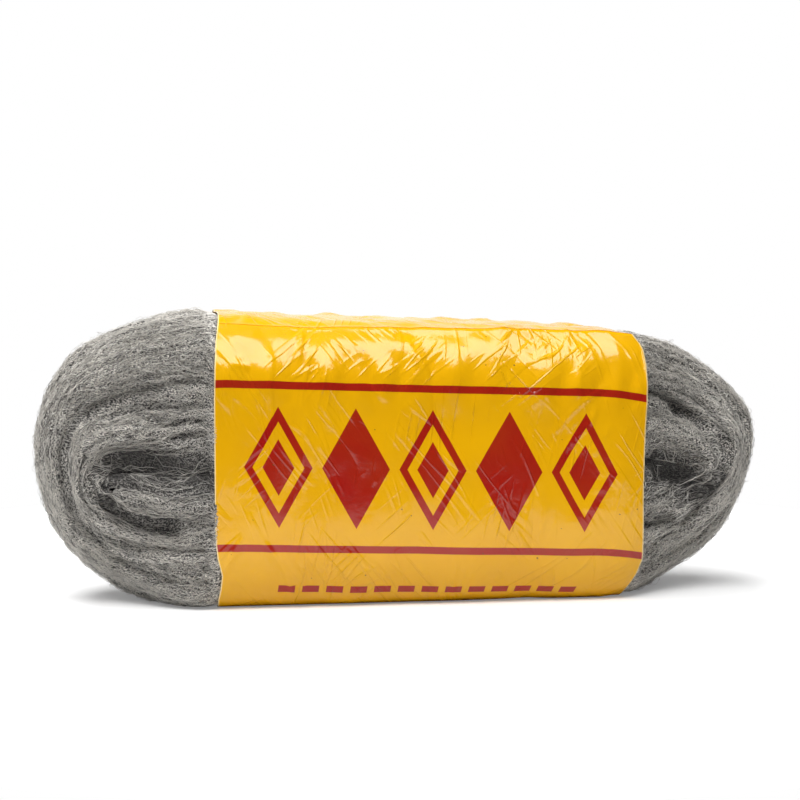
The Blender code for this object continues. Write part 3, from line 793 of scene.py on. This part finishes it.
# Waves and crumples all over: how far each kind leans for each metre along, its cells over a patch of film,
# how wide they are round the girth, and a seed. Crumples lie where the film turns and over its top.
PATCH = 0.2
WAVES = (0.0, 14, 0.019, 31)
CROSS_WAVES = (0.3, 24, 0.011, 32)
CRUMPLES = (-0.5, 32, 0.0060, 35)
FINE_CRUMPLES = (-0.6, 60, 0.006, 33)
FINE_CROSSING = (0.9, 50, 0.004, 34)
WAVE_HEIGHT = 0.00065
WAVE_MEAN = 0.75
TURN_CRUMPLE = 0.00070
TURNS_OVER = (0.007, -0.047)
TURN_SPREAD = 0.009
TOP_CRUMPLE = 0.00070
TOP_MIDDLE = -0.020
TOP_SPREAD = 0.018
FINE_HEIGHT = 0.00010
FINE_ALL_OVER = 0.5
FINE_AT_CREASE = 1.2
AT_CREASE_RUN = 0.012

# The wrinkles never dip further than this into the gap over the wool, and less at the rims
DEEPEST_DIP = 0.0016
RIM_DIP = 0.0002
DIP_RUN = 0.008


def sleeve_base(x, turn):
    """The sleeve's inner side without its wrinkles.

    turn is the angle round the section, from the front face over the top. The section is the squeezed
    hank's own, cut across at x.
    """
    c, s = np.cos(turn), np.sin(turn)
    radial = (np.abs(c) ** HELD_FULLNESS + np.abs(s) ** HELD_FULLNESS) ** (1 / HELD_FULLNESS)
    ring, share = np.abs(s) / radial, c / radial
    outer_x = np.clip(x / (EYE_SHARE + (1 - EYE_SHARE) * ring), -HALF_LENGTH, HALF_LENGTH)
    above = s >= 0
    edge = outline(outer_x, above) - np.where(above, RIM_SQUEEZE, -RIM_SQUEEZE)
    eye = eye_height(outer_x)
    z = np.maximum(eye + ring * (edge - eye), FILM_GAP + FILM_THICKNESS)
    half = HALF_THICKNESS - RIM_SQUEEZE - END_THINNING * toward_end(x)
    return -half * share, z


def crease_line(x, down, start, end, height, half_width):
    """A crease along a line: a straight-sided ridge, sharp at its top, which fades out to both ends."""
    (x0, d0), (x1, d1) = start, end
    length = math.hypot(x1 - x0, d1 - d0)
    tx, td = (x1 - x0) / length, (d1 - d0) / length
    along = (x - x0) * tx + (down - d0) * td
    wander = np.sin(along / CREASE_WANDER_RUN + CREASE_WANDER_START * height / half_width)
    off = (x - x0) * -td + (down - d0) * tx + CREASE_WANDER * wander
    fade = smooth_step(CREASE_FADE * (1 - np.abs(2 * along / length - 1)))
    return height * fade * np.clip(1 - np.abs(off) / half_width, 0, 1) ** CREASE_SHARPNESS


def loose_creases(rng):
    """Random creases for the rest of the film, mostly steep, and close together near the folded edges."""
    made = []
    for _ in range(LOOSE_CREASES):
        x = rng.uniform(SLEEVE_LEFT, SLEEVE_RIGHT)
        down = rng.choice(
            [
                rng.normal(*GATHERED_TOP_FRONT),
                rng.uniform(*ALL_ROUND),
                rng.normal(*GATHERED_TOP_REAR),
                rng.normal(*GATHERED_FOOT_FRONT),
                rng.normal(*GATHERED_FOOT_REAR),
            ]
        )
        lean = rng.normal(0, LOOSE_LEAN)
        half = rng.uniform(*LOOSE_HALF_LENGTH)
        step = (half * math.sin(lean), half * math.cos(lean))
        calm = CALM if CALM_FRONT[0] < down < CALM_FRONT[1] else 1.0
        height = rng.choice([-1, 1]) * rng.uniform(*LOOSE_HEIGHT) * calm
        ends = (x - step[0], down - step[1]), (x + step[0], down + step[1])
        made.append((*ends, height, rng.uniform(*LOOSE_HALF_WIDTH)))
    return made


def bulge(x, edge):
    """How far a row of puckers stands out, edge being the distance past the edge that they hang from."""
    parted = np.zeros_like(edge)
    for place, half_width, lean in DENTS:
        flare = half_width * (1 + DENT_FLARE * np.clip(edge, 0, DENT_FLARE_END))
        parted = parted + np.exp(-(((x - place - lean * (edge - PUCKER_PLACE)) / flare) ** 2))
    band = np.exp(-(((edge - PUCKER_PLACE) / PUCKER_SPREAD) ** 2))
    return PUCKER_BULGE * band * np.clip(1 - parted, 0, 1)


def film_noise(x, down, lean, along_cells, across_cell, seed):
    """Smooth noise over the film, whose cells lean by so much for each metre along."""
    along = (x + PATCH / 2) / PATCH
    return noise(along, down + PATCH + lean * x, along_cells, across_cell, seed)


def film_wrinkles(x, down, girth):
    """How far the film stands out. down is the distance from the top crease: forwards and down if positive.

    Both folded edges are sharp ridges. Puckers hang from them, and creases and soft waves cross the rest.
    """
    from_rear = girth / 2 - np.abs(down)
    rightward = smooth_step((x - SLEEVE_LEFT) / (SLEEVE_RIGHT - SLEEVE_LEFT))
    rise, spread = (low + (high - low) * rightward for low, high in (CREASE_RISE, CREASE_SPREAD))
    stand = rise * np.exp(-np.abs(down) / spread) + CREASE_RISE[0] * np.exp(-from_rear / CREASE_SPREAD[0])
    over_rear = bulge(x - REAR_SHIFT, -down - REAR_SHOULDER)
    stand = stand + bulge(x, down) + over_rear + bulge(UNDER_SHIFT - x, from_rear)
    slack = SLACK_MEAN + SLACK_SWING * np.sin(x / SLACK_RUNS[0]) * np.sin(x / SLACK_RUNS[1] + 1.0)
    from_rim = np.minimum(x - SLEEVE_LEFT, SLEEVE_RIGHT - x)
    slack = slack * smooth_step((from_rim - TAUT_RIM) / TAUT_FADE)
    hang = (down - SLACK_PLACE - SLACK_LEAN * x) / SLACK_SPREAD
    stand = stand - UNDER_PUCKER * slack * np.exp(-(hang**2))
    for start, end, height, half_width in NICKS + loose_creases(np.random.default_rng(LOOSE_SEED)):
        stand = stand + crease_line(x, down, start, end, height, half_width)
    slow = film_noise(x, down, *WAVES) + film_noise(x, down, *CROSS_WAVES) * 0.5
    crumple = film_noise(x, down, *CRUMPLES) - 0.5
    fine = film_noise(x, down, *FINE_CRUMPLES) + film_noise(x, down, *FINE_CROSSING)
    at_crease = np.exp(-np.abs(down) / AT_CREASE_RUN) + np.exp(-from_rear / AT_CREASE_RUN)
    front_turn, rear_turn = (np.exp(-(((down - place) / TURN_SPREAD) ** 2)) for place in TURNS_OVER)
    over_top = np.exp(-(((down - TOP_MIDDLE) / TOP_SPREAD) ** 4))
    crumpled = TURN_CRUMPLE * (front_turn + rear_turn) + TOP_CRUMPLE * over_top
    stand = stand + WAVE_HEIGHT * (slow - WAVE_MEAN) + crumpled * crumple
    return stand + FINE_HEIGHT * (fine - 1) * (FINE_ALL_OVER + FINE_AT_CREASE * at_crease)


FINE_TURNS = 1440
turns = np.linspace(0, 2 * math.pi, FINE_TURNS + 1)[:-1]
mid_y = sleeve_base(np.zeros_like(turns), turns)[0]
upper = turns < math.pi
crease_turn = turns[upper][np.argmin(np.abs(mid_y[upper] + CREASE_FORWARD))]

# Columns round the girth: close together at the crease, the front shoulder and the front, as measured round
# from the crease, and far apart at the back
SHOULDER_CLOSENESS = 1.6
SHOULDER_PLACE = 0.010
SHOULDER_SPREAD = 0.012
CREASE_CLOSENESS = 1.2
CREASE_CLOSE_RUN = 0.006
FRONT_CLOSENESS = 0.5
FRONT_RUN = 0.075

lap_turns = crease_turn - np.linspace(0, 2 * math.pi, 2 * FINE_TURNS + 1)
lap_y, lap_z = sleeve_base(np.zeros_like(lap_turns), lap_turns)
travel = np.concatenate([[0], np.cumsum(np.hypot(np.diff(lap_y), np.diff(lap_z)))])
at_shoulder = np.exp(-(((travel - SHOULDER_PLACE) / SHOULDER_SPREAD) ** 2))
at_lap_end = np.exp(-(((travel - travel[-1]) / CREASE_CLOSE_RUN) ** 2))
closeness = 1 + SHOULDER_CLOSENESS * at_shoulder + CREASE_CLOSENESS * at_lap_end
closeness = closeness + FRONT_CLOSENESS * (travel < FRONT_RUN)
share_gone = np.concatenate([[0], np.cumsum((closeness[1:] + closeness[:-1]) / 2 * np.diff(travel))])
turn_row = np.interp(np.linspace(0, share_gone[-1], GIRTH_STEPS + 1)[:-1], share_gone, lap_turns)
station = np.linspace(SLEEVE_LEFT, SLEEVE_RIGHT, ALONG_STEPS + 1)
turn_grid, x_grid = np.meshgrid(turn_row, station)


def sleeve_girths(x, turn):
    """Distance round the section from the crease to each point, forwards and down, and the whole girth."""
    y, z = sleeve_base(x, turn)
    y, z = (np.concatenate([v, v[:, :1]], axis=1) for v in (y, z))
    run = np.hypot(np.diff(y, axis=1), np.diff(z, axis=1))
    total = run.sum(1, keepdims=True)
    return np.cumsum(run, axis=1) - run, total


def sleeve_surface(x, turn):
    """The film's inner side: the base section moved out by the gap and the wrinkles, its rims drawn in."""
    y, z = sleeve_base(x, turn)
    travel, total = sleeve_girths(x, turn)
    down = np.where(travel > total / 2, travel - total, travel)
    dy = np.roll(y, -1, axis=1) - np.roll(y, 1, axis=1)
    dz = np.roll(z, -1, axis=1) - np.roll(z, 1, axis=1)
    size = np.maximum(np.hypot(dy, dz), 1e-12)
    from_rim = np.minimum(x - SLEEVE_LEFT, SLEEVE_RIGHT - x)
    deepest = RIM_DIP + DEEPEST_DIP * smooth_step(from_rim / DIP_RUN)
    stand = FILM_GAP + np.maximum(film_wrinkles(x, down, total), -deepest)
    y, z = y + dz / size * stand, z - dy / size * stand
    share = (x - SLEEVE_LEFT) / (SLEEVE_RIGHT - SLEEVE_LEFT)
    left, right = (np.interp(z, *np.array(rim).T) for rim in (RIM_LEFT, RIM_RIGHT))
    shifted = x + left * (1 - share) ** 3 + right * share**3
    return shifted, y, np.maximum(z, FILM_THICKNESS), down, total


shifted, film_y, film_z, down_grid, girth_grid = sleeve_surface(x_grid, turn_grid)
film_y, film_z = (
    np.stack([np.interp(shifted[:, j], station, rows[:, j]) for j in range(GIRTH_STEPS)], axis=-1)
    for rows in (film_y, film_z)
)
film_mesh = grid_mesh("printed_film", np.stack([shifted, film_y, film_z], axis=-1))
film_place = film_mesh.attributes.new("film_place", "FLOAT_VECTOR", "POINT")
film_map = np.stack([x_grid, down_grid, np.zeros_like(x_grid)], axis=-1)
film_place.data.foreach_set("vector", film_map.astype(np.float32).ravel())
turned_out(film_mesh)

film = Finish("printed_film")
spot = film.node("ShaderNodeAttribute", {"attribute_name": "film_place"}, output=1)
axes = film.tree.nodes.new("ShaderNodeSeparateXYZ")
film.join(spot, axes.inputs[0])
along, down = Wire(film, axes.outputs[0]), Wire(film, axes.outputs[1])

# The print, front and back: lozenges between two bands, every other one with a ring left out, and dashes
# near the bottom. Then the marks on it: the amber fold, a painted shadow along the top crease; the pale cut
# edge, a painted highlight; and unevenness and dirt.
PRINT_CENTRE = (SLEEVE_LEFT + SLEEVE_RIGHT) / 2
PRINT_MIDDLE = 0.0385
BACK_PRINT_MIDDLE = -0.0840
LOZENGE_PITCH = 0.0205
LOZENGE_HALF = (0.0090, 0.0160)
LOZENGES = 5
CUT_OUT = (0.0022, 0.0048)
EDGE_SOFTNESS = 0.00012
BAND_OFF = 0.0215
BAND_WIDTH = 0.0020
DASH_OFF = (0.0330, 0.0290)
DASH_PITCH = 0.0066
DASH_HALF = (0.0023, 0.0011)
DASHES = 13

# The painted shadow in the top crease and the painted highlight at the cut edges: their widths and strengths
FOLD_SHADOW_WIDTH = 0.00016
FOLD_SHADOW_STRENGTH = 0.8
CUT_HIGHLIGHT_WIDTH = 0.00030
CUT_HIGHLIGHT_STRENGTH = 0.75
CLOUDS = 55.0
LEAST_INK = 0.93
INK_SWING = 0.1
DIRT_GRAINS = 620.0
DIRT_START = 0.775
DIRT_RISE = 40.0
DIRT_STRENGTH = 0.8

# Its gloss: how rough it is at least and where it is hazy, and the height of the haze, of tiny unevenness
# and of crinkles. Of these, how often one comes along and across, its tilt and thinness, and the level of a
# slow noise above which it shows.
LEAST_ROUGH = 0.075
HAZE_ROUGH = 0.14
HAZE = 140.0
HAZE_HEIGHT = 0.12
TINY = 900.0
TINY_HEIGHT = 0.02
CRINKLE_HEIGHT = 0.16
CRINKLES = [
    (28.0, 210.0, 0.9, 20.0, 0.49),
    (34.0, 260.0, -0.75, 20.0, 0.53),
    (30.0, 240.0, 1.75, 18.0, 0.51),
    (26.0, 190.0, 1.25, 20.0, 0.53),
]
CRINKLED_PARTS = 52.0
PARTS_APART = 9.0
PART_RISE = 8.0
FILM_RELIEF = 0.0010


def inside(measure):
    """1 where a signed distance is below zero, with the print's slightly soft edge."""
    return (measure * (-1 / EDGE_SOFTNESS) + 0.5).kept_within(0.0, 1.0)


def nearest_place(pitch, count):
    """The number of the nearest of a row of even places along the film, and how far away it is."""
    from_centre = along - PRINT_CENTRE
    number = (from_centre / pitch + (count % 2) * 0.5).maths("FLOOR")
    number = number.kept_within(-(count // 2), (count - 1) // 2)
    return number, abs(from_centre - (number + (0.5 - (count % 2) * 0.5)) * pitch)


number, off = nearest_place(LOZENGE_PITCH, LOZENGES)
from_row = abs(down - PRINT_MIDDLE).maths("MINIMUM", abs(down - BACK_PRINT_MIDDLE))
lozenge = (off / LOZENGE_HALF[0] + from_row / LOZENGE_HALF[1] - 1) * min(LOZENGE_HALF)
cut_out = inside(lozenge + CUT_OUT[0]) - inside(lozenge + CUT_OUT[1])
lozenges = inside(lozenge) - cut_out * (1 - abs(number.maths("MODULO", 2.0)))
number, off = nearest_place(DASH_PITCH, DASHES)
from_dashes = abs(down - (PRINT_MIDDLE + DASH_OFF[0])).maths(
    "MINIMUM", abs(down - (BACK_PRINT_MIDDLE - DASH_OFF[1]))
)
dashes = inside((off - DASH_HALF[0]).maths("MAXIMUM", from_dashes - DASH_HALF[1]))
bands = inside(abs(from_row - BAND_OFF) - BAND_WIDTH / 2)
inked = lozenges.maths("MAXIMUM", bands).maths("MAXIMUM", dashes)

cloud = film.noise(spot, CLOUDS, 3.0)
yellow = film.blend(cloud, FILM_YELLOW, FILM_DEEP)
# Painted shadow: a dark amber line along the top crease
folded = inside(abs(down) - FOLD_SHADOW_WIDTH) * FOLD_SHADOW_STRENGTH
# Painted highlight: a pale line along both cut edges
from_cut = (along - SLEEVE_LEFT).maths("MINIMUM", SLEEVE_RIGHT - along)
cut_edge_highlight = inside(from_cut - CUT_HIGHLIGHT_WIDTH) * CUT_HIGHLIGHT_STRENGTH
grains = film.noise(spot, DIRT_GRAINS, 1.0)
dirt = ((grains - DIRT_START) * DIRT_RISE).kept_within(0.0, DIRT_STRENGTH)
film_colour = film.blend(inked * (LEAST_INK + cloud * INK_SWING), yellow, PRINT_RED)
for mark, colour in ((folded, FOLD_SHADOW_AMBER), (dirt, DIRT), (cut_edge_highlight, CUT_EDGE_HIGHLIGHT)):
    film_colour = film.blend(mark, film_colour, colour)
tiny = film.noise(spot, TINY, 3.0)
haze = film.noise(spot, HAZE, 4.0, Roughness=0.6)


def crinkles(along_scale, across_scale, tilt, thinness, part):
    """Little creases, straight and sharp-topped, on the part of the film that a slow noise picks."""
    field = film.noise(film.drawn_out(spot, along_scale, across_scale, tilt), 1.0, 1.0)
    where = film.node(
        "ShaderNodeTexNoise",
        {"noise_dimensions": "4D"},
        {"Vector": spot, "W": PARTS_APART * tilt, "Scale": CRINKLED_PARTS, "Detail": 1.0},
    )
    picked = ((where - part) * PART_RISE).kept_within(0.0, 1.0)
    return (1 - abs(field - 0.5) * thinness).maths("MAXIMUM", 0.0) * picked


creased = crinkles(*CRINKLES[0])
for layer in CRINKLES[1:]:
    creased = creased + crinkles(*layer)
film_height = haze * HAZE_HEIGHT + tiny * TINY_HEIGHT + creased * CRINKLE_HEIGHT
film_bump = film.node(
    "ShaderNodeBump", {}, {"Height": film_height, "Strength": 1.0, "Distance": FILM_RELIEF}
)
film.set(Base_Color=film_colour, Roughness=haze * HAZE_ROUGH + LEAST_ROUGH, Normal=film_bump)

printed_film = placed("printed_film", film_mesh, film.material)
wall = printed_film.modifiers.new("film", "SOLIDIFY")
wall.thickness = FILM_THICKNESS
wall.offset = 1.0
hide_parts("film_sleeve")


# The studio: a white table that fades into a white room, a wide soft lamp high in front, a second one above
# that gives no highlights, and the camera, a little to the left of the pad and just above its height.
TABLE_RADIUS = 0.21
TABLE_SIDES = 96
TABLE_DROP = 0.0002
TABLE_GREY = 0.82
TABLE_GLOW = 0.22
ROOM_FADE = (0.80, 0.99)
ROOM_LIGHT = (0.05, 0.95)
VIEW_AZIMUTH = math.radians(-8.0)
VIEW_ELEVATION = math.radians(5.0)
VIEW_DISTANCE = 0.55
VIEW_TARGET = np.array([0.0, 0.0, 0.053])
LENS = 88.83
LAMP_PLACE = (-0.16, -0.45, 0.80)
LAMP_SIZE = (1.10, 0.47)
LAMP_POWER = 11.3
TOP_LAMP_PLACE = (-0.25, 0.25, 0.90)
TOP_LAMP_SIZE = (0.7, 0.7)
TOP_LAMP_POWER = 11.5

turn = np.arange(TABLE_SIDES) * 2 * math.pi / TABLE_SIDES
edge = TABLE_RADIUS * np.stack([np.cos(turn), np.sin(turn), np.zeros_like(turn)], axis=-1)
edge[:, 2] = -TABLE_DROP
table_mesh = bpy.data.meshes.new("table")
table_mesh.from_pydata(edge, [], [tuple(range(TABLE_SIDES))])
table = bpy.data.objects.new("table", table_mesh)
bpy.context.scene.collection.objects.link(table)
white = Finish("table")
seen = white.node("ShaderNodeLightPath")
table_colour = (TABLE_GREY, TABLE_GREY, TABLE_GREY, 1.0)
white.set(Base_Color=table_colour, Roughness=0.9, Emission_Color=(1.0, 1.0, 1.0, 1.0))
white.set(Emission_Strength=seen * TABLE_GLOW)
table_mesh.materials.append(white.material)

world = bpy.data.worlds.new("room")
bpy.context.scene.world = world
world.use_nodes = True
tree = world.node_tree
room = tree.nodes["Background"]
room.inputs["Color"].default_value = (1.0, 1.0, 1.0, 1.0)
ray = tree.nodes.new("ShaderNodeLightPath")
heading = tree.nodes.new("ShaderNodeTexCoord")
split = tree.nodes.new("ShaderNodeSeparateXYZ")
shade = tree.nodes.new("ShaderNodeMapRange")
pick = tree.nodes.new("ShaderNodeMix")
tree.links.new(heading.outputs["Generated"], split.inputs[0])
tree.links.new(split.outputs[1], shade.inputs["Value"])
for limit, value in zip(("From Min", "From Max", "To Min", "To Max"), ROOM_FADE + ROOM_LIGHT):
    shade.inputs[limit].default_value = value
tree.links.new(ray.outputs["Is Camera Ray"], pick.inputs[0])
tree.links.new(shade.outputs[0], pick.inputs[2])
pick.inputs[3].default_value = 1.0
tree.links.new(pick.outputs[0], room.inputs["Strength"])


def lamp(name, place, size, power):
    """A rectangular lamp that faces straight down."""
    data = bpy.data.lights.new(name, "AREA")
    data.shape = "RECTANGLE"
    data.size, data.size_y = size
    data.energy = power
    made = bpy.data.objects.new(name, data)
    made.location = place
    bpy.context.scene.collection.objects.link(made)
    return made


lamp("softbox", LAMP_PLACE, LAMP_SIZE, LAMP_POWER)
lamp("top_lamp", TOP_LAMP_PLACE, TOP_LAMP_SIZE, TOP_LAMP_POWER).visible_glossy = False

back = np.array(
    [
        math.sin(VIEW_AZIMUTH) * math.cos(VIEW_ELEVATION),
        -math.cos(VIEW_AZIMUTH) * math.cos(VIEW_ELEVATION),
        math.sin(VIEW_ELEVATION),
    ]
)
camera_data = bpy.data.cameras.new("camera")
camera_data.lens = LENS
camera_data.sensor_width = 36.0
camera = bpy.data.objects.new("camera", camera_data)
camera.location = VIEW_TARGET + back * VIEW_DISTANCE
camera.rotation_euler = (math.pi / 2 - VIEW_ELEVATION, 0.0, VIEW_AZIMUTH)
bpy.context.scene.collection.objects.link(camera)
bpy.context.scene.camera = camera
bpy.context.scene.view_settings.view_transform = "Standard"
